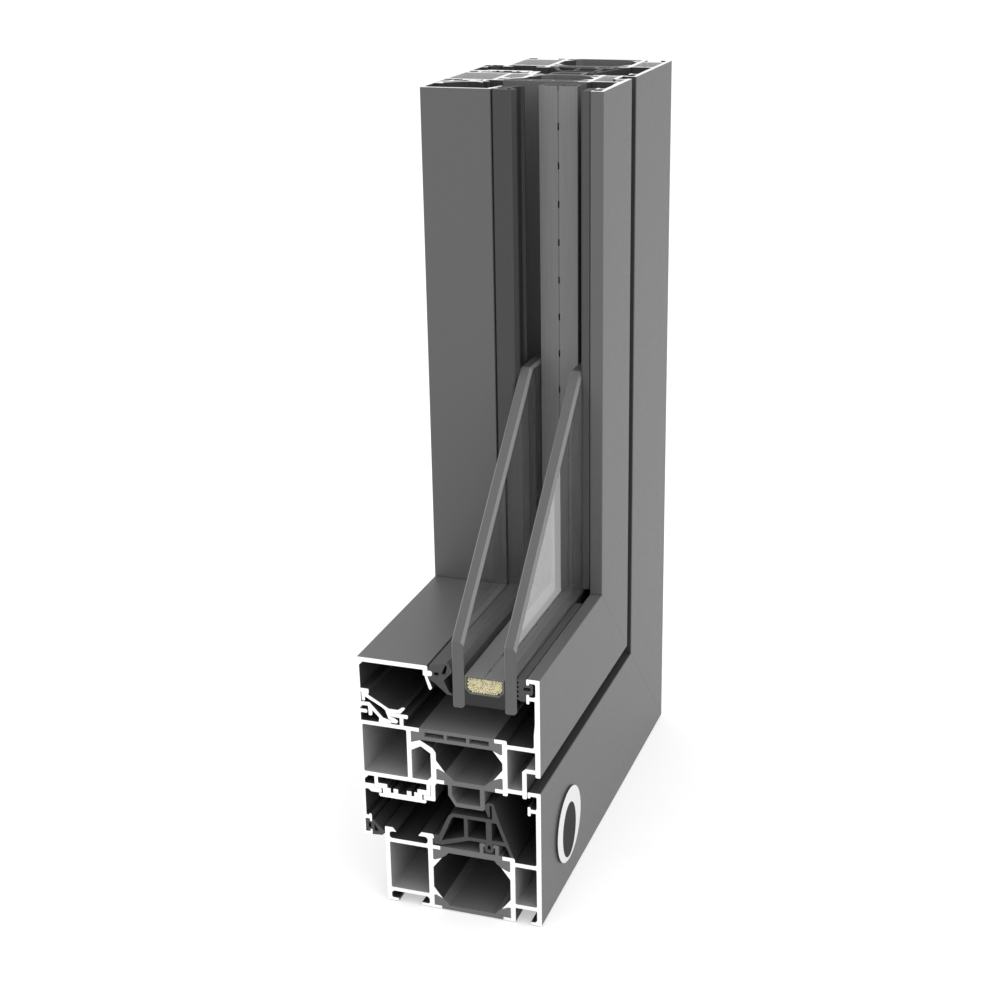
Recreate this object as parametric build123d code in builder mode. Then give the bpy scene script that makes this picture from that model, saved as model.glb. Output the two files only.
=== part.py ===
# Corner sample of a thermally broken aluminium window: fixed frame, opening sash and double glazing.
# A sill arm and a jamb arm, sawn off square at their free ends, meet in a mitre.
# Every section is drawn once, as depth in from the outside face against height above the underside,
# and both arms are extruded from it.
import os

from build123d import *

os.makedirs("parts", exist_ok=True)

# Overall sizes
sill_length = 206.0
jamb_length = 336.0
sash_depth = 80.0
overlap = 9.6  # how far the sash stands in from the frame, on the room side
frame_depth = sash_depth - overlap
badge_radius = 17.0
badge_thickness = 1.0
badge_inset = 37.0  # from the sawn end of the sill
badge_height = 29.0

# Heights of the frame
foot_lip = 1.3  # lips at the underside
frame_floor = 4.7  # underside of the inner tube
frame_shelf = 30.8  # floor of the rebate
frame_rim = frame_shelf + 32.6  # top of the outside wall
seal_rim = frame_shelf + 5.3  # top of the inner wall, which the sash lip closes on

# Heights of the sash
sash_foot = frame_shelf + 28.9  # underside of the tubes
sash_floor = sash_foot + 3.0  # seat of the lower insulating strip
sash_drop = frame_rim + 7.2  # lower edge of the outside wall
sash_shelf = sash_foot + 26.0  # floor of the rebate under the glass
sash_rim = sash_shelf + 29.2  # top of the outside wall and of the bead
sash_lip_foot = frame_shelf + 0.2  # lower edge of the lip that overlaps the frame inside

# Walls
lip = 1.8  # usual thickness of lips and webs
frame_wall = 2.1
sash_wall = 2.15
lap_wall = 1.25  # room side of the sash
edge_radius = 0.4
tip_radius = 0.5
blunt = 0.4  # bevel in the corners of the chambers

# Depths of the walls that face the thermal break
frame_outer_break = 13.8
frame_inner_break = frame_depth - 21.8
sash_outer_break = 16.45
sash_glazing_break = sash_depth - 23.2
sash_inner_break = sash_depth - 34.1

# Pocket that is rolled onto each end of an insulating strip
lip_reach = 3.4
foot_high = 4.9
nose_out, nose_high = 0.8, 5.2
tip_out, tip_high = 3.95, 3.85
spur_root = 9.0

# Gasket groove behind an outside wall
groove_reach = 5.7
hook_thick = 1.25
groove_foot = 11.1  # from the rim down to the end of the lower hook

# Glass unit
pane = 5.3
outer_pane = groove_reach + 4.0
glass_inside = sash_depth - 42.4
inner_pane = glass_inside - pane
outer_arris, inner_arris = 1.2, 0.5
glass_foot = sash_shelf + 12.2
glass_side = sash_shelf + 0.3  # on the jamb the unit stands close to the floor of the rebate
side_shift = glass_foot - glass_side
glass_stub = 29.5  # upright edge of the cut pane at the sawn end
glass_height = 119.6
glass_ledge = 26.7  # level cut along the top, which ends at the slant
butyl = 0.25  # seal on each side of the spacer bar
sealant_foot = glass_foot + 1.8
spacer_foot = glass_foot + 7.0
spacer_top = spacer_foot + 8.0
spacer_bevel = 2.2
spacer_wall = 0.6
bead_recess = 0.6  # the desiccant beads end a little inside the sawn end
slit_length, slit_width, slit_pitch = 3.0, 0.7, 16.35
sill_slit, jamb_slit = 6.9, 0.3  # from the sawn end to the middle of the first slit
cavity_middle = (outer_pane + glass_inside) / 2

# Pieces that stop square, short of the corner, measured from the far arm's sash
rod_gap = 12.0
sill_gasket_gap, jamb_gasket_gap = 10.8, 2.2


def bar(near, far, low, high, mode=Mode.ADD):
    """Rectangle between two depths and two heights."""
    with Locations(((near + far) / 2, (low + high) / 2)):
        Rectangle(abs(far - near), abs(high - low), mode=mode)


def rounded(section, radius, *spots):
    """Rounds the corners of a section nearest to the given spots."""
    for spot in spots:
        fillet(section.vertices().sort_by_distance(Vector(*spot))[0], radius)


def triangle(depth, height, across, up, mode=Mode.ADD):
    """Right-angled triangle that fills an inner corner, or is taken off an outer one."""
    Polygon((depth, height), (depth + across, height), (depth, height + up), mode=mode)


def blunted(near, far, low, high):
    """Small bevels in the four corners of a chamber."""
    for depth, across in ((near, blunt), (far, -blunt)):
        for height, up in ((low, blunt), (high, -blunt)):
            triangle(depth, height, across, up)


def placed(depth, height, points):
    """Points given from one depth and one height."""
    return [(depth + x, height + y) for x, y in points]


def from_face(face, level, side, up, *points):
    """Points given as distance out of a wall and height over a lip."""
    return [(face + side * out, level + up * high) for out, high in points]


def pocket(face, level, side, up, lip_thick=lip):
    """Lip and raked spur that grip the end of an insulating strip."""
    bar(face, face + side * lip_reach, level - up * lip_thick, level)
    Polygon(*from_face(face, level, side, up, (0, foot_high), (nose_out, nose_high), (tip_out, tip_high),
                       (0, spur_root)))


def strip_foot(face, level, side, up, *flare):
    """Swallow-tailed end of an insulating strip, flaring down to the strip itself."""
    Polygon(*from_face(face, level, side, up, (0, 0), (0, foot_high), (nose_out, nose_high),
                       (tip_out, tip_high), *flare, (flare[-1][0], 0)))


def gasket_groove(section, rim, wall):
    """Two hooked ledges behind an outside wall, which a gasket snaps between."""
    near, low_ledge, relief = groove_reach - hook_thick, rim - 9.6, 0.35
    bar(0, groove_reach, rim - lip, rim)
    bar(near, groove_reach, rim - 2.7, rim)
    bar(0, groove_reach, low_ledge, low_ledge + 1.7)
    bar(near, groove_reach, rim - groove_foot, rim - 6.85)
    tips = [(x, y) for x in (near, groove_reach) for y in (rim - 2.7, rim - 6.85, rim - groove_foot)]
    rounded(section, tip_radius, *tips, (groove_reach, rim))
    Polygon((wall, rim - 7.6), (wall - relief, rim - 7.2), (wall - relief, rim - 2.3), (wall, rim - 1.9),
            mode=Mode.SUBTRACT)


def frame_outer_section():
    web_near = frame_outer_break - 2.15
    tube_low, tube_high = frame_floor + 4.0, frame_shelf - 3.9
    gutter = tube_high + 1.9
    with BuildSketch() as section:
        bar(0, frame_wall, 0, frame_rim)
        bar(web_near, frame_outer_break, 0, frame_shelf)
        bar(0, frame_outer_break, tube_low - lip, tube_low)
        bar(0, frame_outer_break, tube_high, gutter)
        bar(0, frame_wall + 2.75, 0, foot_lip)
        triangle(frame_wall, foot_lip, 0.9, 0.9)
        blunted(frame_wall, web_near, tube_low, tube_high)
        gasket_groove(section, frame_rim, frame_wall)
        pocket(frame_outer_break, frame_shelf - lip, 1, -1)
        pocket(frame_outer_break, foot_lip, 1, 1, foot_lip)
        rounded(section, edge_radius, (0, 0), (0, frame_rim))
        rounded(section, 0.9, (frame_wall, gutter), (web_near, frame_shelf))
    return section.sketch


def frame_inner_section():
    inside, web_far = frame_depth - 2.0, frame_inner_break + 2.2
    tube_low, tube_high, mouth = frame_floor + lip, frame_shelf - 1.9, seal_rim - 2.0
    near_lip, far_lip = frame_inner_break + 6.3, inside - 3.0
    with BuildSketch() as section:
        bar(inside, frame_depth, 0, seal_rim)
        bar(frame_inner_break, web_far, 0, seal_rim)
        bar(frame_inner_break, frame_depth, frame_floor, tube_low)
        bar(frame_inner_break, frame_depth, tube_high, frame_shelf)
        # mouth lips of the groove under the frame and of the one on top
        bar(inside - 3.2, frame_depth, 0, foot_lip)
        bar(frame_inner_break, frame_inner_break + 5.9, 0, foot_lip)
        bar(far_lip, frame_depth, mouth, seal_rim)
        bar(frame_inner_break - 0.6, near_lip, mouth, seal_rim)
        triangle(near_lip, seal_rim, -1.35, -1.7, mode=Mode.SUBTRACT)
        triangle(far_lip, seal_rim, 1.35, -1.7, mode=Mode.SUBTRACT)
        blunted(web_far, inside, tube_low, tube_high)
        triangle(web_far, frame_floor, 1.0, -1.0)
        triangle(inside, frame_floor, -1.0, -1.0)
        pocket(frame_inner_break, frame_shelf - lip, -1, -1)
        pocket(frame_inner_break, foot_lip, -1, 1, foot_lip)
        rounded(section, edge_radius, (frame_depth, 0), (frame_depth, seal_rim))
        rounded(section, 1.4, *[(x, y) for x in (inside, web_far) for y in (frame_shelf, mouth)])
        rounded(section, 0.8, (inside, foot_lip), (web_far, foot_lip))
        rounded(section, 0.8, (frame_inner_break - 0.6, seal_rim))
    return section.sketch


def frame_upper_break_section():
    near, far = frame_outer_break + lip_reach, frame_inner_break - lip_reach
    hook_top, hook_low = frame_shelf + 4.8, frame_shelf + 3.4
    post, hook = 1.6, 2.4
    with BuildSketch() as section:
        bar(near, far, frame_shelf - 2.7, frame_shelf)
        for face, side in ((frame_outer_break, 1), (frame_inner_break, -1)):
            strip_foot(face, frame_shelf - lip, side, -1, (4.6, 3.2), (6.0, 2.3), (7.0, 0.9))
        # posts with hooked tops that hold the gasket
        for root, side in ((frame_outer_break + 5.0, 1), (frame_outer_break + 13.5, -1)):
            bar(root, root + side * post, frame_shelf, hook_top)
            bar(root, root + side * hook, hook_low, hook_top)
            rounded(section, tip_radius, (root, hook_top), (root + side * hook, hook_top))
    return section.sketch


def frame_lower_break_section():
    near, far = frame_outer_break + lip_reach, frame_inner_break - lip_reach
    with BuildSketch() as section:
        bar(near, far, 0, foot_lip + 0.8)
        for face, side in ((frame_outer_break, 1), (frame_inner_break, -1)):
            strip_foot(face, foot_lip, side, 1, (4.6, 3.2), (6.0, 2.3), (7.0, 0.8))
    return section.sketch


def sash_outer_section():
    web_near, shelf = sash_outer_break - 2.1, sash_shelf - lip
    step_near, step_far, step_top = 6.0, 7.9, sash_drop + 3.4
    leg_foot, tube_low, tube_high = sash_foot + 0.3, sash_floor + 0.8, shelf - 1.9
    swell = 0.5  # the wall thickens towards the shelf
    with BuildSketch() as section:
        bar(0, sash_wall, sash_drop, sash_rim)
        Polygon((0, shelf - lip), (sash_wall + swell, shelf - lip), (sash_wall + swell, shelf + 6.0),
                (sash_wall, shelf + 11.0), (0, shelf + 11.0))
        bar(web_near, sash_outer_break, leg_foot, sash_shelf)
        bar(0, sash_outer_break, tube_high, shelf)
        # step behind the outside wall
        bar(0, step_far, sash_drop + 1.5, step_top)
        bar(step_near, step_far, leg_foot, step_top)
        bar(step_near, sash_outer_break, tube_low - 1.9, tube_low)
        triangle(step_far, step_top, -1.5, -1.5, mode=Mode.SUBTRACT)
        triangle(step_far, tube_low, blunt, blunt)
        triangle(web_near, tube_low, -blunt, blunt)
        triangle(web_near, tube_high, -blunt, -blunt)
        gasket_groove(section, sash_rim, sash_wall)
        pocket(sash_outer_break, shelf, 1, -1)
        pocket(sash_outer_break, sash_floor, 1, 1)
        rounded(section, edge_radius, (0, sash_rim))
        rounded(section, 1.0, (sash_wall + swell, shelf))
        rounded(section, 0.6, (step_near, leg_foot), (step_far, leg_foot), (web_near, leg_foot),
                (0, sash_drop), (sash_wall, sash_drop))
        rounded(section, 0.9, (web_near, sash_shelf))
    return section.sketch


def sash_inner_section():
    inside, web_far, leg_far = sash_depth - lap_wall, sash_glazing_break + 1.95, sash_inner_break + 2.3
    tube_low, tube_high = sash_foot + 1.9, sash_shelf - lip
    lip_top, lug_top = sash_shelf + 5.3, sash_shelf + 5.2
    rod_near, rod_foot = sash_inner_break + 0.75, sash_foot - 7.6
    seal_low, seal_top = sash_lip_foot + 1.4, sash_lip_foot + 7.6
    with BuildSketch() as section:
        bar(inside, sash_depth, sash_lip_foot, lip_top)
        bar(inside - 2.65, sash_depth, lip_top - 1.7, lip_top)
        bar(sash_glazing_break, sash_depth, tube_high, sash_shelf)
        bar(sash_glazing_break - 3.7, sash_glazing_break, tube_high, sash_shelf)
        bar(sash_glazing_break, web_far, sash_foot, sash_shelf)
        bar(sash_inner_break, sash_depth, sash_foot, tube_low)
        bar(sash_inner_break, leg_far, sash_foot, sash_shelf - 10.6)
        blunted(web_far, inside, tube_low, tube_high)
        triangle(leg_far, tube_low, 1.8, 1.8)
        triangle(sash_glazing_break, tube_low, -blunt, blunt)
        # sloping roof of the small tube, with the ridge that grips the strip
        Polygon((sash_glazing_break, sash_shelf - 7.1), (sash_glazing_break - 4.0, sash_shelf - 5.65),
                (sash_inner_break + 1.3, sash_shelf - 8.6), (sash_inner_break, sash_shelf - 10.4),
                (leg_far, sash_shelf - 11.1), (sash_glazing_break - 4.2, sash_shelf - 8.4),
                (sash_glazing_break, sash_shelf - 10.7))
        # lug that carries the bead
        bar(inside - 18.85, inside - 17.15, sash_shelf, lug_top)
        bar(inside - 20.95, inside - 13.45, lug_top - lip, lug_top)
        # hardware groove
        bar(rod_near, rod_near + 2.05, rod_foot, sash_foot)
        bar(rod_near, rod_near + 5.35, rod_foot, rod_foot + 2.2)
        bar(inside - 7.55, inside, rod_foot, rod_foot + 2.2)
        bar(inside - 4.35, inside, rod_foot, rod_foot + 3.8)
        triangle(inside, sash_foot, -1.8, -1.8)
        Polygon((inside, rod_foot), (inside - 2.7, rod_foot), (inside - 1.5, rod_foot + 1.1),
                (inside, rod_foot + 1.1), mode=Mode.SUBTRACT)
        Polygon((sash_inner_break, sash_foot), (rod_near, sash_foot), (sash_inner_break, sash_foot + 1.2),
                mode=Mode.SUBTRACT)
        # groove for the rebate gasket, where the wall is thinner
        Polygon((inside, seal_top), (inside, seal_top + 2.1), (inside - 0.75, seal_top + 1.7),
                (inside - 1.85, seal_top + 2.7), (inside - 2.45, seal_top + 2.1),
                (inside - 2.45, seal_top - 1.2), (inside - 1.55, seal_top - 1.2), (inside - 1.55, seal_top))
        bar(inside - 2.45, inside, sash_lip_foot, seal_low)
        bar(inside - 2.45, inside - 1.55, sash_lip_foot + 1.0, sash_lip_foot + 2.5)
        bar(inside, inside + 0.55, seal_low, seal_top, mode=Mode.SUBTRACT)
        bar(inside, inside + 0.4, sash_shelf, lip_top - 1.7, mode=Mode.SUBTRACT)
        pocket(sash_inner_break, sash_floor, -1, 1)
        rounded(section, tip_radius, *[(inside - x, lug_top - y) for x in (20.95, 13.45) for y in (0, lip)],
                (rod_near + 5.35, rod_foot), (rod_near + 5.35, rod_foot + 2.2), (inside - 7.55, rod_foot),
                (inside - 7.55, rod_foot + 2.2))
        rounded(section, 0.7, (rod_near, rod_foot), (inside - 2.65, lip_top), (inside - 2.65, lip_top - 1.7),
                (sash_depth, lip_top), (sash_depth, sash_lip_foot), (inside - 2.45, sash_lip_foot))
    return section.sketch


def sash_glazing_break_section():
    level, tail = sash_shelf - lip, sash_glazing_break - 4.8
    near, far = sash_outer_break + lip_reach, sash_glazing_break - 3.7
    pitch = (far - near) / 3.35
    with BuildSketch() as section:
        bar(near, far, sash_shelf - 5.4, sash_shelf)
        strip_foot(sash_outer_break, level, 1, -1, (4.4, 3.6))
        Polygon((sash_glazing_break, level), (sash_glazing_break, sash_shelf - 7.1),
                (sash_glazing_break - 4.0, sash_shelf - 5.65), (tail, sash_shelf - 5.4), (tail, level))
        # three flat air slots
        with Locations(((near + far) / 2, sash_shelf - 2.7)):
            with GridLocations(pitch, 0, 3, 1):
                Rectangle(pitch - 1.3, 2.2, mode=Mode.SUBTRACT)
    return section.sketch


def sash_lower_break_section():
    near, far = sash_outer_break + 8.15, sash_inner_break - 5.1
    floor, foot, shoulder = sash_floor - 1.7, sash_foot - 8.5, sash_foot - 3.5
    wall = 2.0
    with BuildSketch() as section:
        bar(sash_outer_break + lip_reach, sash_inner_break - lip_reach, sash_floor - lip, sash_floor + 0.5)
        for face, side in ((sash_outer_break, 1), (sash_inner_break, -1)):
            strip_foot(face, sash_floor, side, 1, (5.0, 3.15), (6.9, 1.55), (8.05, 0.5))
        # hollow box that hangs into the rebate
        Polygon((near, floor), (near, foot + 0.9), (near + 0.8, foot), (far - 3.2, foot), (far, shoulder),
                (far, floor))
        Polygon((near + wall, floor), (near + wall, foot + lip), (far - 3.7, foot + lip),
                (far - 1.6, shoulder + 0.4), (far - 1.6, floor), mode=Mode.SUBTRACT)
        rounded(section, tip_radius, (near + wall, foot + lip), (far - 3.7, foot + lip), (far - 3.2, foot))
    return section.sketch


def glazing_bead_section():
    near, top_under = sash_depth - 31.6, sash_rim - 2.0
    foot = sash_shelf + 7.0
    with BuildSketch() as section:
        bar(near, sash_depth, top_under, sash_rim)
        # the wall towards the room grows thicker downwards
        Polygon((sash_depth, foot), (sash_depth, sash_rim), (sash_depth - 1.0, sash_rim),
                (sash_depth - 1.3, foot))
        # drip nib at the lower edge, over the lip of the sash
        triangle(sash_depth, foot, -1.5, -1.2)
        # catch of the clip
        bar(sash_depth - 4.9, sash_depth - 0.5, sash_rim - 15.9, sash_rim - 14.3)
        bar(sash_depth - 4.9, sash_depth - 4.0, sash_rim - 16.6, sash_rim - 14.3)
        # knob and raked leg that hold the gasket
        bar(near - 2.0, near + 2.0, sash_rim - 4.5, sash_rim - 2.1)
        Polygon(*placed(near, sash_rim, [(0, 0), (2.1, -1.5), (1.8, -3.2), (-0.4, -10.2), (-1.1, -11.0),
                                         (-1.9, -9.8), (0, -5.0)]))
        # foot that hooks into the sash
        Polygon(*placed(sash_depth, sash_shelf, [
            (0, 7.0), (0, 8.7), (-3.0, 8.7), (-5.0, 8.8), (-11.0, 2.4), (-13.4, 1.9), (-14.6, 1.5),
            (-14.6, 0.1), (-8.9, 0.1), (-9.2, 2.2), (-6.2, 5.2), (-6.0, 2.7), (-4.5, 2.7), (-4.3, 7.0)]))
        triangle(sash_depth - 1.0, top_under, -1.7, -1.7)
        rounded(section, 0.45, (near, sash_rim), (near - 1.1, sash_rim - 11.0), (near - 1.9, sash_rim - 9.8),
                (sash_depth - 4.9, sash_rim - 16.6), (sash_depth - 4.9, sash_rim - 14.3),
                (sash_depth, sash_rim))
        rounded(section, 0.9, (near - 2.0, sash_rim - 4.5), (near - 2.0, sash_rim - 2.1),
                (sash_depth - 5.0, sash_shelf + 8.8))
        rounded(section, tip_radius,
                *placed(sash_depth, sash_shelf, [(-6.0, 2.7), (-4.5, 2.7), (-14.6, 0.1)]))
    return section.sketch


def bead_clip_section():
    with BuildSketch() as section:
        Polygon(*placed(sash_depth, sash_shelf, [
            (-1.5, 13.3), (-4.0, 13.3), (-4.7, 12.1), (-13.7, 7.0), (-17.8, 7.0), (-20.0, 8.5), (-21.4, 8.4),
            (-18.8, 5.4), (-16.1, 5.3), (-14.6, 5.1), (-14.6, 3.3), (-16.1, 2.9), (-17.4, 2.2), (-17.7, 1.4),
            (-17.0, 0.6), (-14.7, 0.6), (-14.7, 1.6), (-13.4, 2.2), (-12.1, 6.0), (-10.7, 7.2), (-3.1, 11.2),
            (-3.0, 9.2), (-1.7, 9.2)]))
        rounded(section, 0.35, *placed(sash_depth, sash_shelf, [
            (-20.0, 8.5), (-21.4, 8.4), (-17.7, 1.4), (-17.0, 0.6), (-3.0, 9.2), (-1.7, 9.2)]))
        add(glazing_bead_section(), mode=Mode.SUBTRACT)
        add(sash_inner_section(), mode=Mode.SUBTRACT)
    return section.sketch


def drive_rod_section():
    centre, half, leg = sash_depth - 18.4, 12.7, 1.6
    flange_low, flange_top, foot = sash_foot - 5.3, sash_foot - 3.0, sash_foot - 9.3
    with BuildSketch() as section:
        bar(centre - half, centre + half, flange_low, flange_top)
        bar(centre - 9.0, centre + 9.0, foot, flange_low + 0.5)
        bar(centre - 10.8, centre + 10.8, foot, foot + 1.6)
        # shallow channel along the top, with three grooves in its floor
        bar(centre - 6.9, centre + 6.9, flange_low + 0.6, flange_top, mode=Mode.SUBTRACT)
        bar(centre - 2.0, centre + 2.0, sash_foot - 6.8, flange_top, mode=Mode.SUBTRACT)
        for side in (-1, 1):
            bar(centre + side * half, centre + side * (half - leg), flange_low, sash_foot)
            bar(centre + side * 4.1, centre + side * 5.4, sash_foot - 6.8, flange_top, mode=Mode.SUBTRACT)
            rounded(section, 0.4, (centre + side * 10.8, foot + 1.6), (centre + side * half, flange_low),
                    (centre + side * 6.9, flange_top), (centre + side * (half - leg), flange_top))
            triangle(centre + side * 10.8, foot, -side * 0.6, 0.6, mode=Mode.SUBTRACT)
    return section.sketch


def centre_gasket_section():
    left, right, base = frame_outer_break, frame_inner_break, frame_shelf
    low, high = base + 6.4, base + 15.3  # floor and roof of the two hollows
    rib = left + 0.56 * (right - left)  # middle of the wall between them
    with BuildSketch() as section:
        Polygon(*placed(right, base, [(0.5, 3.3), (-1.0, 5.3), (-3.0, 5.4), (-7.5, 15.4), (-9.4, 16.9)]),
                *placed(left, base, [
                    (7.6, 16.9), (7.8, 23.1), (8.3, 23.6), (8.7, 23.1), (8.6, 18.2), (9.3, 17.8),
                    (10.8, 21.4), (10.8, 23.4), (9.5, 24.5), (7.4, 24.5), (6.8, 23.8), (4.2, 15.4),
                    (-1.8, 0), (-0.3, 0), (1.3, 4.2), (2.2, 5.1), (7.9, 5.1), (7.1, 3.4), (7.3, 1.8),
                    (8.2, 0.7), (10.4, 0.7), (11.3, 1.8), (11.5, 3.4), (10.8, 5.1)]),
                (rib - 1.5, base + 5.1), *placed(right, base, [(-4.1, 0.8), (-0.6, 0.8), (0.5, 1.8)]))
        rounded(section, 0.6, *placed(right, base, [(-7.5, 15.4), (-9.4, 16.9)]),
                *placed(left, base, [(10.8, 23.4), (9.5, 24.5), (7.4, 24.5), (10.8, 21.4)]))
        for hollow in (
            placed(right, base, [(-9.9, 15.3), (-8.9, 14.4), (-4.2, 3.0)])
            + [(rib + 0.8, low), (rib + 0.8, high)],
            [(left + 10.5, low + 0.3), (rib - 0.8, low + 0.3), (rib - 0.8, high), (left + 10.5, high)],
            placed(left, base, [(8.0, 6.9), (8.0, 15.3), (5.8, 15.3), (2.5, 6.9)]),
        ):
            Polygon(*hollow, mode=Mode.SUBTRACT)
        Polygon(*placed(left, base, [(8.5, 2.3), (9.9, 2.3), (9.9, 3.8), (9.2, 4.5), (8.5, 3.8)]),
                mode=Mode.SUBTRACT)
        add(frame_inner_section(), mode=Mode.SUBTRACT)
        add(frame_upper_break_section(), mode=Mode.SUBTRACT)
    return section.sketch


def inner_rebate_gasket_section():
    base, back = sash_lip_foot, sash_depth - 0.7
    with BuildSketch() as section:
        Polygon(*placed(back, base, [(0, 2.4), (0, 6.9), (-0.7, 7.6), (-2.1, 7.6), (-2.1, 6.4), (-4.1, 7.4),
                                     (-4.7, 6.2)]),
                (frame_depth, base + 2.3), (frame_depth, base + 1.8), (frame_depth + 1.3, base + 0.5),
                *placed(back, base, [(-3.1, 0.1), (-2.0, 2.5), (-1.1, 1.4)]))
        Polygon(*placed(back, base, [(-4.1, 5.6), (-3.9, 2.0), (-6.0, 1.9)]), mode=Mode.SUBTRACT)
        bar(back - 2.5, back - 1.3, base + 3.2, base + 5.6, mode=Mode.SUBTRACT)
        add(sash_inner_section(), mode=Mode.SUBTRACT)
    return section.sketch


def inner_glazing_gasket_section():
    with BuildSketch() as section:
        Polygon(*placed(glass_inside, sash_rim, [
            (11.3, -1.2), (10.2, -1.0), (10.0, 0.3), (2.3, 2.2), (1.3, 1.8), (0, -0.5), (0, -1.6),
            (2.3, -4.0), (3.7, -5.7), (1.4, -10.6), (0, -11.3), (0, -11.8), (2.3, -11.8), (7.9, -7.2),
            (10.5, -5.8), (11.6, -4.7)]))
        Polygon(*placed(glass_inside, sash_rim, [
            (4.7, -2.8), (2.9, -3.0), (2.1, 0.6), (2.5, 1.4), (2.9, 1.2)]), mode=Mode.SUBTRACT)
        bar(glass_inside + 5.9, glass_inside + 7.9, sash_rim - 3.8, sash_rim - 2.4, mode=Mode.SUBTRACT)
        add(glazing_bead_section(), mode=Mode.SUBTRACT)
        rounded(section, 0.4, (glass_inside + 2.3, sash_rim + 2.2), (glass_inside + 2.3, sash_rim - 11.8),
                *[(glass_inside + x, sash_rim - y) for x in (5.9, 7.9) for y in (2.4, 3.8)])
    return section.sketch


def outer_glazing_gasket_section():
    body_far, foot, ribs = outer_pane - 0.9, sash_rim - 10.1, 5
    rib_pitch = 2.0
    with BuildSketch() as section:
        bar(groove_reach + 0.3, body_far, foot, sash_rim - 0.3)
        rounded(section, 0.6, (body_far, foot))
        # foot that snaps into the groove
        bar(groove_reach - 1.8, groove_reach + 0.7, sash_rim - 6.9, sash_rim - 2.6)
        Polygon(*placed(groove_reach, sash_rim, [(-2.8, -6.4), (-2.2, -7.1), (-1.3, -7.1), (-1.3, -2.0),
                                                 (-2.2, -2.0), (-2.8, -2.8)]))
        bar(groove_reach - 1.8, groove_reach + 1.1, sash_rim - 5.2, sash_rim - 3.8, mode=Mode.SUBTRACT)
        # ribs that press on the glass
        for rib in range(ribs):
            low = foot + 0.3 + rib_pitch * rib
            Polygon((body_far - 0.1, low), (outer_pane, low + 0.6), (outer_pane, low + 1.0),
                    (body_far - 0.1, low + 1.5))
        add(sash_outer_section(), mode=Mode.SUBTRACT)
    return section.sketch


def spacer_outline(inset):
    near, far, bevel = outer_pane + pane + butyl, inner_pane - butyl, spacer_bevel
    return [(near + inset, spacer_top - inset), (far - inset, spacer_top - inset),
            (far - inset, spacer_foot + bevel), (far - bevel, spacer_foot + inset),
            (near + bevel, spacer_foot + inset), (near + inset, spacer_foot + bevel)]


def spacer_bar_section():
    with BuildSketch() as section:
        Polygon(*spacer_outline(0))
        Polygon(*spacer_outline(spacer_wall), mode=Mode.SUBTRACT)
    return section.sketch


def desiccant_section():
    with BuildSketch() as section:
        Polygon(*spacer_outline(spacer_wall))
    return section.sketch


def edge_sealant_section():
    with BuildSketch() as section:
        bar(outer_pane + pane, inner_pane, sealant_foot, spacer_top - 0.8)
        Polygon(*spacer_outline(0), mode=Mode.SUBTRACT)
    return section.sketch


# Where the arms stand: the box of the whole sample is centred on the origin, resting on z = 0.
corner = sill_length / 2
outside = -(sash_depth - badge_thickness) / 2
sill_end = Plane(origin=(corner - sill_length, outside, 0), x_dir=(0, 1, 0), z_dir=(1, 0, 0))
jamb_foot = Plane(origin=(corner, outside, 0), x_dir=(0, 1, 0), z_dir=(0, 0, 1))
mitre = Plane(origin=(corner, 0, 0), x_dir=(0, 1, 0), z_dir=(1, 0, 1))
# the glass unit's own corner lies nearer to the jamb
unit_foot = Plane(origin=(corner + side_shift, outside, 0), x_dir=(0, 1, 0), z_dir=(0, 0, 1))
unit_mitre = Plane(origin=(corner + side_shift, 0, 0), x_dir=(0, 1, 0), z_dir=(1, 0, 1))

sections = {
    "frame_outer_profile": frame_outer_section,
    "frame_inner_profile": frame_inner_section,
    "frame_upper_break": frame_upper_break_section,
    "frame_lower_break": frame_lower_break_section,
    "centre_gasket": centre_gasket_section,
    "sash_outer_profile": sash_outer_section,
    "sash_inner_profile": sash_inner_section,
    "sash_glazing_break": sash_glazing_break_section,
    "sash_lower_break": sash_lower_break_section,
    "drive_rod": drive_rod_section,
    "inner_rebate_gasket": inner_rebate_gasket_section,
    "glazing_bead": glazing_bead_section,
    "bead_clip": bead_clip_section,
    "inner_glazing_gasket": inner_glazing_gasket_section,
    "outer_glazing_gasket": outer_glazing_gasket_section,
    "spacer_bar": spacer_bar_section,
    "desiccant": desiccant_section,
    "edge_sealant": edge_sealant_section,
}
arms = (("sill", sill_end, sill_length, Keep.BOTTOM), ("jamb", jamb_foot, jamb_length, Keep.TOP))
unit_pieces = ("spacer_bar", "desiccant", "edge_sealant")

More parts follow.
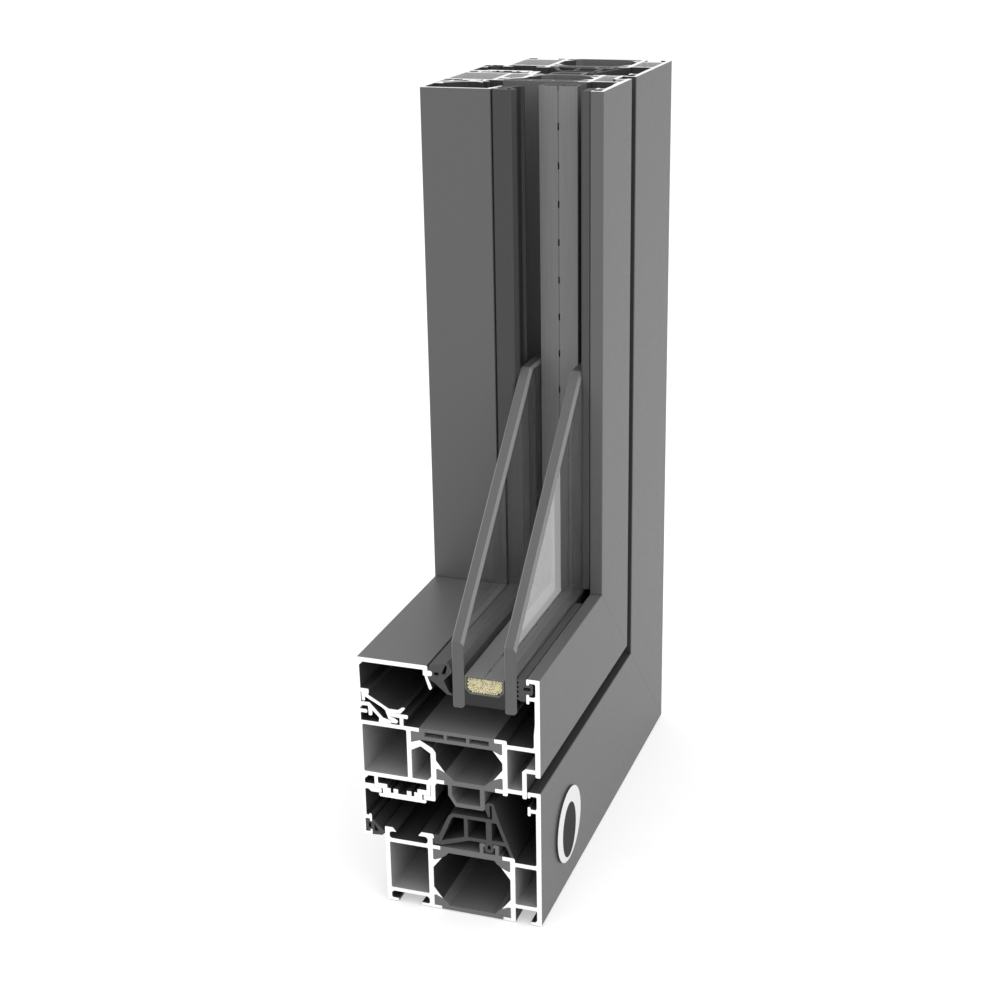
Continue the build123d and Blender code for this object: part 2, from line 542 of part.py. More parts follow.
for piece, section in sections.items():
    profile = section()
    for arm, end, length, side in arms:
        on_sill = arm == "sill"
        if piece == "desiccant" and not on_sill:
            continue  # the jamb's spacer bar is empty
        joint = mitre
        if piece in unit_pieces:
            joint = unit_mitre
            if not on_sill:
                end = unit_foot
        with BuildPart() as member:
            with BuildSketch(end):
                add(profile)
            extrude(amount=length)
            split(bisect_by=joint, keep=side)
            if piece == "desiccant":
                split(bisect_by=end.offset(bead_recess), keep=Keep.TOP)
            if piece == "drive_rod":
                stop = sash_foot + rod_gap
                split(bisect_by=end.offset(length - stop if on_sill else stop), keep=side)
            if piece == "outer_glazing_gasket":
                stop = length - sash_rim - sill_gasket_gap if on_sill else sash_rim + jamb_gasket_gap
                split(bisect_by=end.offset(stop), keep=side)
            if piece == "spacer_bar":
                # breathing slits along the face between the panes, counted from the sawn end
                first, step = (sill_slit, slit_pitch) if on_sill else (length - jamb_slit, -slit_pitch)
                face = Plane(origin=end.from_local_coords(Vector(cavity_middle, spacer_top, first)),
                             x_dir=end.z_dir, z_dir=end.y_dir)
                run = length - spacer_top + (side_shift if on_sill else 0)
                with BuildSketch(face):
                    with Locations(*[(step * slit, 0) for slit in range(int(run / slit_pitch))]):
                        Rectangle(slit_length, slit_width)
                extrude(amount=-2 * spacer_wall, mode=Mode.SUBTRACT)
        member.part.label = f"{arm}_{piece}"
        export_step(member.part, f"parts/{arm}_{piece}.step")
        print(member.part.label, len(member.solids()), round(member.part.volume))

# Each pane is cut on a slant, from a short upright edge at the sawn end up to a level ledge.
for name, face in (("outer_glass_pane", outer_pane), ("inner_glass_pane", inner_pane)):
    edge = Plane(origin=(corner, outside + face, 0), x_dir=(1, 0, 0), z_dir=(0, 1, 0))
    with BuildPart() as glass:
        with BuildSketch(edge):
            # the plane's own upward axis points down, so heights count backwards
            Polygon(*[(x, -glass_foot - rise) for x, rise in (
                (-sill_length, 0), (-glass_side, 0), (-glass_side, glass_height),
                (-glass_side - glass_ledge, glass_height), (-sill_length, glass_stub))])
        extrude(amount=pane)
        outward = glass.faces().sort_by(Axis.Y)[0]
        # the upright edge at the sawn end stays sharp on the outside
        chamfer(outward.edges().sort_by(Axis.X)[1:], outer_arris)
        chamfer(glass.faces().sort_by(Axis.Y)[-1].edges(), inner_arris)
    glass.part.label = name
    export_step(glass.part, f"parts/{name}.step")
    print(name, round(glass.part.volume), glass.part.bounding_box())

# Plain round badge on the outside face of the sill.
badge_face = Plane(origin=(corner - sill_length + badge_inset, outside, badge_height), x_dir=(1, 0, 0),
                   z_dir=(0, -1, 0))
with BuildPart() as badge:
    with BuildSketch(badge_face):
        Circle(badge_radius)
    extrude(amount=badge_thickness)
badge.part.label = "round_badge"
export_step(badge.part, "parts/round_badge.step")
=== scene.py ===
# %% [markdown]
# A corner sample of an aluminium window, the kind that stands on a showroom counter. A sill arm and a
# jamb arm meet in a mitre, and both free ends are sawn off so that the section shows: coated metal
# outside, bare metal where the saw went, plastic strips between the shells, rubber and glass.
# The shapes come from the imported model, which is the fixed frame. This script gives every piece its
# finish, adds the loose beads that fill the spacer bar, and sets up a small white studio.

import math
import random

import bmesh
import bpy
from mathutils import Matrix, Vector


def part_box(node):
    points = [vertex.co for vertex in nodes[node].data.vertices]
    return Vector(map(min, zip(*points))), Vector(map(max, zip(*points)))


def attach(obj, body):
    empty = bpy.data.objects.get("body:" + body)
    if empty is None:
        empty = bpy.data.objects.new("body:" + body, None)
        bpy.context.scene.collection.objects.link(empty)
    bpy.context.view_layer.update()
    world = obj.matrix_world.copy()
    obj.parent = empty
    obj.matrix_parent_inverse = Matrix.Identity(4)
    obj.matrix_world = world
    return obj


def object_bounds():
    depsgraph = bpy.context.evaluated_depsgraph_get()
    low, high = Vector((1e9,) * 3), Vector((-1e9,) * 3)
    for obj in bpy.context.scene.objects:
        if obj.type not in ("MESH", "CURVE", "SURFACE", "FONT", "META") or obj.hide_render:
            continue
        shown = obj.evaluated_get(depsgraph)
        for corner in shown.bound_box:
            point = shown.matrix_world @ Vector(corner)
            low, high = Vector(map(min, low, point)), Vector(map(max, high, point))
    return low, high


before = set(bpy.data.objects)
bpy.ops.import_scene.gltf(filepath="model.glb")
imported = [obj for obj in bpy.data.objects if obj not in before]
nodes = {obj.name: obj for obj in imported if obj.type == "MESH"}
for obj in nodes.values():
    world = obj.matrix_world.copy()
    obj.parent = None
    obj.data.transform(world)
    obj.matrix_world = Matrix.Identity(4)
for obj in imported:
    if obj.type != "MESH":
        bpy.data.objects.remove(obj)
cad_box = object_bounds()
print(len(nodes), "pieces, box", [round(v, 4) for corner in cad_box for v in corner])

# %% [markdown]
# Node trees get long when every node takes five lines. One short helper makes a node, sets its
# properties, and fills each input with a value or a link, so that a finish reads like a recipe.

# %% A helper for node recipes
def put(tree, kind, inputs=None, **settings):
    """Adds one node. An input is filled with a link where the value is another node's output."""
    made = tree.nodes.new(kind)
    for name, value in settings.items():
        setattr(made, name, value)
    for name, value in (inputs or {}).items():
        if isinstance(value, bpy.types.NodeSocket):
            tree.links.new(value, made.inputs[name])
        else:
            made.inputs[name].default_value = value
    return made


def maths(tree, operation, first, second=0.0, third=0.0):
    """One sum on values, as an output socket."""
    return put(tree, "ShaderNodeMath", {0: first, 1: second, 2: third}, operation=operation).outputs[0]


def new_group(name, inputs, outputs):
    """An empty shader group with named sockets. Returns the tree, its input node and its output node."""
    group = bpy.data.node_groups.new(name, "ShaderNodeTree")
    for label, kind, value in inputs:
        socket = group.interface.new_socket(name=label, in_out="INPUT", socket_type=kind)
        socket.default_value = value
    for label, kind in outputs:
        group.interface.new_socket(name=label, in_out="OUTPUT", socket_type=kind)
    return group, group.nodes.new("NodeGroupInput"), group.nodes.new("NodeGroupOutput")


def finish_for(name):
    """A material with one Principled BSDF. Returns the material, its tree and the shader."""
    material = bpy.data.materials.new(name)
    material.use_nodes = True
    return material, material.node_tree, material.node_tree.nodes["Principled BSDF"]


# %% [markdown]
# Everything on this object was pushed through a die, so its marks run along the arm: lengthwise on
# the sill, upright on the jamb. A group of nodes works out, for any point, how far along its arm it
# is, how deep from the outside face and how high in the section. It also gives the distance from
# the mitre, where the two arms meet in a hairline joint. Both arms then share every finish.

# %% Arm coordinates
half_length = cad_box[1].x

arm_tree, _, arm_out = new_group(
    "arm coordinates", [],
    [("Along Arm", "NodeSocketVector"), ("Section", "NodeSocketVector"),
     ("Mitre Distance", "NodeSocketFloat")])
place = put(arm_tree, "ShaderNodeTexCoord")
axes = put(arm_tree, "ShaderNodeSeparateXYZ", {0: place.outputs["Object"]})
from_corner = maths(arm_tree, "SUBTRACT", half_length, axes.outputs["X"])
on_sill = maths(arm_tree, "GREATER_THAN", from_corner, axes.outputs["Z"])
run = put(arm_tree, "ShaderNodeMix", {"Factor": on_sill, "A": axes.outputs["Z"], "B": axes.outputs["X"]})
run = run.outputs["Result"]
height = put(arm_tree, "ShaderNodeMix", {"Factor": on_sill, "A": from_corner, "B": axes.outputs["Z"]})
height = height.outputs["Result"]
squeezed = maths(arm_tree, "MULTIPLY", run, 0.02)
along = put(arm_tree, "ShaderNodeCombineXYZ", {"X": squeezed, "Y": axes.outputs["Y"], "Z": height})
section = put(arm_tree, "ShaderNodeCombineXYZ", {"X": axes.outputs["Y"], "Y": height, "Z": run})
apart = maths(arm_tree, "ABSOLUTE", maths(arm_tree, "SUBTRACT", from_corner, axes.outputs["Z"]))
arm_tree.links.new(along.outputs[0], arm_out.inputs["Along Arm"])
arm_tree.links.new(section.outputs[0], arm_out.inputs["Section"])
arm_tree.links.new(maths(arm_tree, "MULTIPLY", apart, math.sqrt(0.5)), arm_out.inputs["Mitre Distance"])
print("arm coordinates, mitre starts at x", round(half_length, 3))

# %% [markdown]
# Two effects come back in most finishes. The first is grain: powder paint, plastic and rubber all
# break up the light with a fine irregular surface. The second is die lines, the faint scratches
# that an extrusion keeps along its length. Each is a group with its own size and strength.

# %% Grain and die lines
grain_tree, grain_in, grain_out = new_group(
    "grain",
    [("Colour", "NodeSocketColor", (0.5, 0.5, 0.5, 1)), ("Size", "NodeSocketFloat", 0.0004),
     ("Contrast", "NodeSocketFloat", 0.1)],
    [("Colour", "NodeSocketColor"), ("Height", "NodeSocketFloat")])
spot = put(grain_tree, "ShaderNodeTexCoord")
fine = put(grain_tree, "ShaderNodeTexNoise",
           {"Vector": spot.outputs["Object"],
            "Scale": maths(grain_tree, "DIVIDE", 1.0, grain_in.outputs["Size"]),
            "Detail": 3.0, "Roughness": 0.6})
swing = maths(grain_tree, "MULTIPLY_ADD", maths(grain_tree, "SUBTRACT", fine.outputs["Fac"], 0.5),
              grain_in.outputs["Contrast"], 1.0)
tinted = put(grain_tree, "ShaderNodeVectorMath", {0: grain_in.outputs["Colour"], "Scale": swing},
             operation="SCALE")
grain_tree.links.new(tinted.outputs[0], grain_out.inputs["Colour"])
grain_tree.links.new(fine.outputs["Fac"], grain_out.inputs["Height"])

line_tree, line_in, line_out = new_group(
    "die lines", [("Width", "NodeSocketFloat", 0.0004)],
    [("Shade", "NodeSocketFloat"), ("Height", "NodeSocketFloat")])
arm = put(line_tree, "ShaderNodeGroup", node_tree=arm_tree)
streak = put(line_tree, "ShaderNodeTexNoise",
             {"Vector": arm.outputs["Along Arm"],
              "Scale": maths(line_tree, "DIVIDE", 1.0, line_in.outputs["Width"]),
              "Detail": 4.0, "Roughness": 0.7})
line_tree.links.new(streak.outputs["Fac"], line_out.inputs["Height"])
shade = put(line_tree, "ShaderNodeMapRange",
            {"Value": streak.outputs["Fac"], "From Min": 0.3, "From Max": 0.7, "To Min": 0.9, "To Max": 1.06})
line_tree.links.new(shade.outputs[0], line_out.inputs["Shade"])
print("groups:", [group.name for group in bpy.data.node_groups])

# %% [markdown]
# The visible metal is powder coated. The powder melts into a satin skin that is slightly wavy, like
# the peel of an orange, with a finer sparkle on top. Seen flat on it is a middle grey, and at a low
# angle it mirrors the white room and looks lighter. The mitre shows as a dark hairline.

# %% Coated aluminium
coat_grey = (0.125, 0.125, 0.127, 1)
coat, tree, shader = finish_for("coated aluminium")
grain = put(tree, "ShaderNodeGroup", {"Colour": coat_grey, "Size": 0.00035, "Contrast": 0.10},
            node_tree=grain_tree)
arm = put(tree, "ShaderNodeGroup", node_tree=arm_tree)
joint = put(tree, "ShaderNodeMapRange", {"Value": arm.outputs["Mitre Distance"], "From Min": 0.00006,
                                         "From Max": 0.00022, "To Min": 0.45, "To Max": 1.0})
jointed = put(tree, "ShaderNodeVectorMath", {0: grain.outputs["Colour"], "Scale": joint.outputs[0]},
              operation="SCALE")
tree.links.new(jointed.outputs[0], shader.inputs["Base Color"])
peel = put(tree, "ShaderNodeTexNoise", {"Vector": put(tree, "ShaderNodeTexCoord").outputs["Object"],
                                        "Scale": 900.0, "Detail": 1.0})
skin = maths(tree, "MULTIPLY_ADD", grain.outputs["Height"], 0.35, peel.outputs["Fac"])
bump = put(tree, "ShaderNodeBump", {"Height": skin, "Strength": 0.12, "Distance": 0.00008})
tree.links.new(bump.outputs[0], shader.inputs["Normal"])
rough = put(tree, "ShaderNodeMapRange", {"Value": peel.outputs["Fac"], "To Min": 0.40, "To Max": 0.52})
tree.links.new(rough.outputs[0], shader.inputs["Roughness"])
print(coat.name, [round(v, 3) for v in coat_grey[:3]])

# %% [markdown]
# In the rebates between frame and sash, behind the bead and in the open grooves, the same coat
# gets a deeper grey with hardly any gloss: painted shade where little light reaches. It keeps faint
# lines along the arm. Bead clip and drive rod lie in that shade and share it.

# %% Coat with painted rebate shade
rebate_shade_coat, tree, shader = finish_for("coat darkened as painted rebate shade")
# The deep grey is painted shade on the same coat, not a darker paint.
grain = put(tree, "ShaderNodeGroup", {"Colour": (0.045, 0.045, 0.046, 1), "Size": 0.0005, "Contrast": 0.25},
            node_tree=grain_tree)
lines = put(tree, "ShaderNodeGroup", {"Width": 0.0007}, node_tree=line_tree)
streaked = put(tree, "ShaderNodeVectorMath", {0: grain.outputs["Colour"], "Scale": lines.outputs["Shade"]},
               operation="SCALE")
tree.links.new(streaked.outputs[0], shader.inputs["Base Color"])
bump = put(tree, "ShaderNodeBump", {"Height": lines.outputs["Height"], "Strength": 0.1, "Distance": 0.00005})
tree.links.new(bump.outputs[0], shader.inputs["Normal"])
shader.inputs["Roughness"].default_value = 0.6
print(rebate_shade_coat.name)

# %% [markdown]
# Where the saw went through, the metal is bare and bright. A saw blade leaves shallow arcs, all
# from one centre. Rings around a point far below the section give them, kept so faint that the
# face stays nearly white. Inside the closed tubes the metal was never coated and keeps the dull
# grey that it had when it left the die. The same metal gets a paler grey in the jamb tubes than in
# the sill tubes as painted light, so the dull metal comes in a lit and a shaded copy.

# %% Sawn and bare aluminium
sawn, tree, shader = finish_for("sawn aluminium")
arm = put(tree, "ShaderNodeGroup", node_tree=arm_tree)
blade = put(tree, "ShaderNodeVectorMath", {0: arm.outputs["Section"], 1: (0.11, -0.16, 0.0)},
            operation="SUBTRACT")
flat = put(tree, "ShaderNodeVectorMath", {0: blade.outputs[0], 1: (1, 1, 0)}, operation="MULTIPLY")
arcs = put(tree, "ShaderNodeTexWave",
           {"Vector": flat.outputs[0], "Scale": 190.0, "Distortion": 1.5, "Detail": 2.0, "Detail Scale": 2.0},
           wave_type="RINGS", rings_direction="SPHERICAL")
bright = put(tree, "ShaderNodeMix", {"Factor": arcs.outputs["Fac"], "A": (0.93, 0.93, 0.94, 1),
                                     "B": (0.99, 0.99, 0.99, 1)}, data_type="RGBA")
tree.links.new(bright.outputs["Result"], shader.inputs["Base Color"])
bump = put(tree, "ShaderNodeBump", {"Height": arcs.outputs["Fac"], "Strength": 0.06, "Distance": 0.00004})
tree.links.new(bump.outputs[0], shader.inputs["Normal"])
shader.inputs["Metallic"].default_value = 1.0
shader.inputs["Roughness"].default_value = 0.38

bare = {}
# The paler jamb grey is painted light; both tubes hold the same bare metal.
for arm_name, grey in (("sill", (0.46, 0.46, 0.465)), ("jamb", (0.66, 0.66, 0.665))):
    bare[arm_name], tree, shader = finish_for("bare aluminium with painted light " + arm_name)
    lines = put(tree, "ShaderNodeGroup", {"Width": 0.0005}, node_tree=line_tree)
    dull = put(tree, "ShaderNodeVectorMath", {0: grey, "Scale": lines.outputs["Shade"]}, operation="SCALE")
    tree.links.new(dull.outputs[0], shader.inputs["Base Color"])
    bump = put(tree, "ShaderNodeBump",
               {"Height": lines.outputs["Height"], "Strength": 0.1, "Distance": 0.00005})
    tree.links.new(bump.outputs[0], shader.inputs["Normal"])
    shader.inputs["Metallic"].default_value = 0.25
    shader.inputs["Roughness"].default_value = 0.5
print(sawn.name, [finish.name for finish in bare.values()])

# %% [markdown]
# The strips that keep the cold out are a nylon filled with short glass fibres. They are matt, a
# little paler than the coat where the saw has cut them, and speckled by the fibre ends. Under the
# glass on the sill the same strip gets a paler grey as painted light.

# %% Glass-filled nylon
nylons = []
# The paler sill grey is painted light on the same nylon.
for name, grey in (("glass-filled nylon", 0.18), ("nylon painted lighter in the sill rebate", 0.23)):
    finish, tree, shader = finish_for(name)
    grain = put(tree, "ShaderNodeGroup", {"Colour": (grey, grey, grey, 1), "Size": 0.0003, "Contrast": 0.4},
                node_tree=grain_tree)
    lines = put(tree, "ShaderNodeGroup", {"Width": 0.0006}, node_tree=line_tree)
    streaked = put(tree, "ShaderNodeVectorMath",
                   {0: grain.outputs["Colour"], "Scale": lines.outputs["Shade"]}, operation="SCALE")
    tree.links.new(streaked.outputs[0], shader.inputs["Base Color"])
    bump = put(tree, "ShaderNodeBump",
               {"Height": grain.outputs["Height"], "Strength": 0.2, "Distance": 0.00005})
    tree.links.new(bump.outputs[0], shader.inputs["Normal"])
    shader.inputs["Roughness"].default_value = 0.65
    nylons.append(finish)
strip, sill_strip_painted_light = nylons

cut_strip, tree, shader = finish_for("cut nylon")
grain = put(tree, "ShaderNodeGroup", {"Colour": (0.19, 0.19, 0.19, 1), "Size": 0.00028, "Contrast": 0.45},
            node_tree=grain_tree)
tree.links.new(grain.outputs["Colour"], shader.inputs["Base Color"])
bump = put(tree, "ShaderNodeBump", {"Height": grain.outputs["Height"], "Strength": 0.25, "Distance": 0.00006})
tree.links.new(bump.outputs[0], shader.inputs["Normal"])
shader.inputs["Roughness"].default_value = 0.75
print([finish.name for finish in nylons], cut_strip.name)

# %% [markdown]
# Gaskets are black synthetic rubber, matt with a soft sheen. The gasket on the weather side gets a
# greyer copy as painted light, and the foot of the inner one a blacker copy as painted shade, so the skin
# comes in three shades.
# A sawn end smears a little and turns greyer than the skin.

# %% Gasket rubber
rubbers = []
# The greyer weather copy is painted light and the blacker foot copy painted shade, on one rubber.
for name, colour in (("gasket rubber", (0.048, 0.048, 0.049, 1)),
                     ("weather gasket rubber painted lighter", (0.068, 0.068, 0.069, 1)),
                     ("gasket foot rubber painted darker", (0.018, 0.018, 0.018, 1))):
    finish, tree, shader = finish_for(name)
    grain = put(tree, "ShaderNodeGroup", {"Colour": colour, "Size": 0.0006, "Contrast": 0.4},
                node_tree=grain_tree)
    lines = put(tree, "ShaderNodeGroup", {"Width": 0.0008}, node_tree=line_tree)
    tree.links.new(grain.outputs["Colour"], shader.inputs["Base Color"])
    bump = put(tree, "ShaderNodeBump",
               {"Height": lines.outputs["Height"], "Strength": 0.15, "Distance": 0.00006})
    tree.links.new(bump.outputs[0], shader.inputs["Normal"])
    shader.inputs["Roughness"].default_value = 0.55
    rubbers.append(finish)
rubber, weather_rubber_painted_light, foot_rubber_painted_shade = rubbers

cut_rubber, tree, shader = finish_for("cut rubber")
grain = put(tree, "ShaderNodeGroup", {"Colour": (0.077, 0.077, 0.078, 1), "Size": 0.0004, "Contrast": 0.5},
            node_tree=grain_tree)
tree.links.new(grain.outputs["Colour"], shader.inputs["Base Color"])
bump = put(tree, "ShaderNodeBump", {"Height": grain.outputs["Height"], "Strength": 0.3, "Distance": 0.00006})
tree.links.new(bump.outputs[0], shader.inputs["Normal"])
shader.inputs["Roughness"].default_value = 0.8
print(rubber.name, weather_rubber_painted_light.name, cut_rubber.name)

# %% [markdown]
# The panes are clear float glass. Light that travels inside a pane comes out a little green, so the
# tint is in the glass and not on it. Glass hardly casts a shadow, so a ray that looks for a lamp
# passes through: Light Path turns the alpha down for shadow rays alone. The edges were rubbed down
# with a stone, which makes them grey and blind. The arrises get a paler grey as a painted sheen.

# %% Glass and its ground edge
glass, tree, shader = finish_for("window glass")
grain = put(tree, "ShaderNodeGroup", {"Colour": (0.98, 0.985, 0.975, 1), "Size": 0.02, "Contrast": 0.02},
            node_tree=grain_tree)
tree.links.new(grain.outputs["Colour"], shader.inputs["Base Color"])
shader.inputs["Roughness"].default_value = 0.0
shader.inputs["IOR"].default_value = 1.46
shader.inputs["Transmission Weight"].default_value = 1.0
paths = put(tree, "ShaderNodeLightPath")
tree.links.new(maths(tree, "MULTIPLY_ADD", paths.outputs["Is Shadow Ray"], -1.0, 1.0), shader.inputs["Alpha"])

edge_finishes = []
# The paler arris grey is a painted sheen on the same ground edge.
for name, colour in (("ground glass edge", (0.112, 0.112, 0.112, 1)),
                     ("arris with painted sheen", (0.24, 0.245, 0.24, 1))):
    finish, tree, shader = finish_for(name)
    grain = put(tree, "ShaderNodeGroup", {"Colour": colour, "Size": 0.0003, "Contrast": 0.35},
                node_tree=grain_tree)
    tree.links.new(grain.outputs["Colour"], shader.inputs["Base Color"])
    bump = put(tree, "ShaderNodeBump",
               {"Height": grain.outputs["Height"], "Strength": 0.2, "Distance": 0.00005})
    tree.links.new(bump.outputs[0], shader.inputs["Normal"])
    shader.inputs["Roughness"].default_value = 0.4
    edge_finishes.append(finish)
ground, arris = edge_finishes
print(glass.name, [finish.name for finish in edge_finishes])

# %% [markdown]
# Between the panes sits the spacer, a thin strip of metal rolled into a tube. Its two edges meet in
# a dark seam along the middle, where the slits are, and the face falls away a little on each side
# of it. That is a height that grows with the distance from the seam, turned into a slope.

# %% Spacer metal
low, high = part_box("sill_spacer_bar")
seam_depth = (low.y + high.y) / 2
spacer, tree, shader = finish_for("spacer metal")
lines = put(tree, "ShaderNodeGroup", {"Width": 0.0007}, node_tree=line_tree)
arm = put(tree, "ShaderNodeGroup", node_tree=arm_tree)
spot = put(tree, "ShaderNodeSeparateXYZ", {0: arm.outputs["Section"]})
from_seam = maths(tree, "ABSOLUTE", maths(tree, "SUBTRACT", spot.outputs["X"], seam_depth))
seam = put(tree, "ShaderNodeMapRange", {"Value": from_seam, "From Min": 0.00012, "From Max": 0.0003,
                                        "To Min": 0.5, "To Max": 1.0})
level = maths(tree, "MULTIPLY", lines.outputs["Shade"], seam.outputs[0])
rolled = put(tree, "ShaderNodeVectorMath", {0: (0.24, 0.24, 0.242), "Scale": level}, operation="SCALE")
tree.links.new(rolled.outputs[0], shader.inputs["Base Color"])
crown = put(tree, "ShaderNodeBump", {"Height": from_seam, "Strength": 1.0, "Distance": 0.06}, invert=True)
bump = put(tree, "ShaderNodeBump", {"Height": lines.outputs["Height"], "Strength": 0.08, "Distance": 0.00005,
                                    "Normal": crown.outputs[0]})
tree.links.new(bump.outputs[0], shader.inputs["Normal"])
shader.inputs["Metallic"].default_value = 0.2
shader.inputs["Roughness"].default_value = 0.45
print(spacer.name, "with its seam at", round(seam_depth, 5))

# %% [markdown]
# The tube on the sill is full of drying beads, and the unit is sealed from behind with a dull dark
# paste. Thin grey seals lie between the tube and the panes, and the sawn rim of the tube is dull
# and warm. The beads at the end catch the light. Behind them and in the slits they lie in the dark,
# so the filling itself gets a deep olive and the loose beads get the cream.

# %% Sealant and drying beads
unit_finishes = []
for name, colour, size, relief in (
    ("edge sealant", (0.022, 0.022, 0.022, 1), 0.0015, 0.0003),
    ("side seal", (0.13, 0.13, 0.13, 1), 0.0008, 0.0001),
    ("cut spacer", (0.17, 0.165, 0.14, 1), 0.0006, 0.0001),
    ("drying beads", (0.84, 0.78, 0.52, 1), 0.0012, 0.0001),
    ("beads in the dark", (0.09, 0.08, 0.045, 1), 0.0012, 0.0001),
):
    finish, tree, shader = finish_for(name)
    grain = put(tree, "ShaderNodeGroup", {"Colour": colour, "Size": size, "Contrast": 0.5},
                node_tree=grain_tree)
    tree.links.new(grain.outputs["Colour"], shader.inputs["Base Color"])
    bump = put(tree, "ShaderNodeBump",
               {"Height": grain.outputs["Height"], "Strength": 0.3, "Distance": relief})
    tree.links.new(bump.outputs[0], shader.inputs["Normal"])
    shader.inputs["Roughness"].default_value = 0.75
    unit_finishes.append(finish)
sealant, side_seal, cut_spacer, bead_finish, dark_beads = unit_finishes
print([finish.name for finish in unit_finishes])

# %% [markdown]
# The badge is a moulded plastic disc: white, with a tall charcoal field a little below its middle,
# where a maker would print a name. The field is left plain. It is a mask on the distance from the
# field's centre, squeezed sideways. The white is lacquered and the field is matt, so the same mask
# feeds the coat weight.

# %% Badge
low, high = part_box("round_badge")
badge_radius = (high.x - low.x) / 2
field_drop, field_reach, field_squeeze = 0.16 * badge_radius, 0.755 * badge_radius, 1.34
field_centre = (low + high) / 2 - Vector((0, 0, field_drop))
badge, tree, shader = finish_for("badge plastic")
place = put(tree, "ShaderNodeTexCoord")
offset = put(tree, "ShaderNodeVectorMath", {0: place.outputs["Object"], 1: field_centre},
             operation="SUBTRACT")
face = put(tree, "ShaderNodeVectorMath", {0: offset.outputs[0], 1: (field_squeeze, 0, 1)},
           operation="MULTIPLY")
reach = put(tree, "ShaderNodeVectorMath", {0: face.outputs[0]}, operation="LENGTH")
blank = put(tree, "ShaderNodeMapRange",
            {"Value": reach.outputs["Value"], "From Min": field_reach,
             "From Max": field_reach + 0.01 * badge_radius}).outputs[0]
ink = put(tree, "ShaderNodeMix", {"Factor": blank, "A": (0.08, 0.08, 0.08, 1), "B": (0.98, 0.98, 0.98, 1)},
          data_type="RGBA")
grain = put(tree, "ShaderNodeGroup", {"Colour": ink.outputs["Result"], "Size": 0.001, "Contrast": 0.03},
            node_tree=grain_tree)
tree.links.new(grain.outputs["Colour"], shader.inputs["Base Color"])
tree.links.new(blank, shader.inputs["Coat Weight"])
shader.inputs["Coat Roughness"].default_value = 0.15
shader.inputs["Specular IOR Level"].default_value = 0.0
print("badge radius", round(badge_radius, 4), "field centre", [round(v, 4) for v in field_centre])

# %% [markdown]
# Each piece is one solid, but its sawn end has another finish than its long faces, and so have the
# insides of closed tubes and the sides that look into a rebate. On the metal those rebate sides get
# a darker copy of the coat as painted shade. A profile therefore gets four material slots, and each
# face picks one: by its place at the sawn end, inside a tube, or on one of the sides that show. Such
# places are boxes in the section: depth and height in millimetres.

# %% Which face gets which finish
sawn_x, sawn_z = cad_box[0].x, cad_box[1].z
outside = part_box("sill_frame_outer_profile")[0].y
tolerance = 2e-5
tubes = {
    "frame_outer_profile": [(2, 12, 8, 27.5)],
    "frame_inner_profile": [(50, 69, 6, 29.5)],
    "sash_outer_profile": [(2, 14.5, 73.8, 82.5), (7.7, 14.5, 63, 73.8)],
    "sash_inner_profile": [(57.5, 79, 61, 84.5), (47.5, 57.5, 61, 79)],
}
shown = {
    "frame_outer_profile": [(-1, 0.45, -1, 64), (0, 18, -1, 0.1)],
    "frame_inner_profile": [(69.9, 71, -1, 37), (45, 71, -1, 0.1)],
    "sash_outer_profile": [(-1, 0.45, 70, 116), (0, 6, 113.5, 116)],
    "sash_inner_profile": [(79.5, 81, 30, 90)],
    "glazing_bead": [(79.5, 81, 88, 116), (55, 81, 114.4, 116), (55, 59.5, 106, 116)],
    "inner_glazing_gasket": [(30, 60, 110, 125)],
    "edge_sealant": [(15.4, 31.9, 86, 113)],
}


def section_place(arm_name, point):
    """Depth and height in the section, in millimetres."""
    rise = point.z if arm_name == "sill" else half_length - point.x
    return (point.y - outside) * 1000, rise * 1000


def within(boxes, depth, rise):
    return any(a < depth < b and c < rise < d for a, b, c, d in boxes)


def dress(node_name, skin_finish, cut_finish=None, tube_finish=None, hidden_finish=None):
    """Gives a piece its finishes and returns how many faces each one took."""
    mesh = nodes[node_name].data
    mesh.materials.clear()
    for finish in (skin_finish, cut_finish, tube_finish, hidden_finish):
        mesh.materials.append(finish or skin_finish)
    arm_name, _, piece = node_name.partition("_")
    count = [0, 0, 0, 0]
    for polygon in mesh.polygons:
        corners = [mesh.vertices[v].co for v in polygon.vertices]
        if arm_name == "sill":
            at_end = all(abs(c.x - sawn_x) < tolerance for c in corners)
        else:
            at_end = all(abs(c.z - sawn_z) < tolerance for c in corners)
        depth, rise = section_place(arm_name, polygon.center)
        in_tube = within(tubes.get(piece, ()), depth, rise)
        on_show = within(shown.get(piece, ()), depth, rise)
        # Faces outside the shown boxes take the fourth slot, which on the metal and the inner gasket's foot
        # is painted shade.
        polygon.material_index = 1 if at_end else 2 if in_tube else 0 if on_show else 3
        count[polygon.material_index] += 1
    return count


metal = (coat, sawn, bare, rebate_shade_coat)
finishes = {
    "frame_outer_profile": metal, "frame_inner_profile": metal, "sash_outer_profile": metal,
    # Bead clip and drive rod take the darker coat as painted shade.
    "sash_inner_profile": metal, "glazing_bead": metal, "bead_clip": (rebate_shade_coat, sawn),
    "drive_rod": (rebate_shade_coat, sawn),
    "frame_upper_break": (strip, cut_strip), "frame_lower_break": (strip, cut_strip),
    "sash_glazing_break": ({"sill": sill_strip_painted_light, "jamb": strip}, cut_strip),
    "sash_lower_break": (strip, cut_strip),
    "centre_gasket": (rubber, cut_rubber), "inner_rebate_gasket": (rubber, cut_rubber),
    "inner_glazing_gasket": (rubber, cut_rubber, rubber, foot_rubber_painted_shade),
    "outer_glazing_gasket": (weather_rubber_painted_light, cut_rubber),
    "spacer_bar": (spacer, cut_spacer), "desiccant": (dark_beads,),
    "edge_sealant": (sealant, sealant, sealant, side_seal),
}
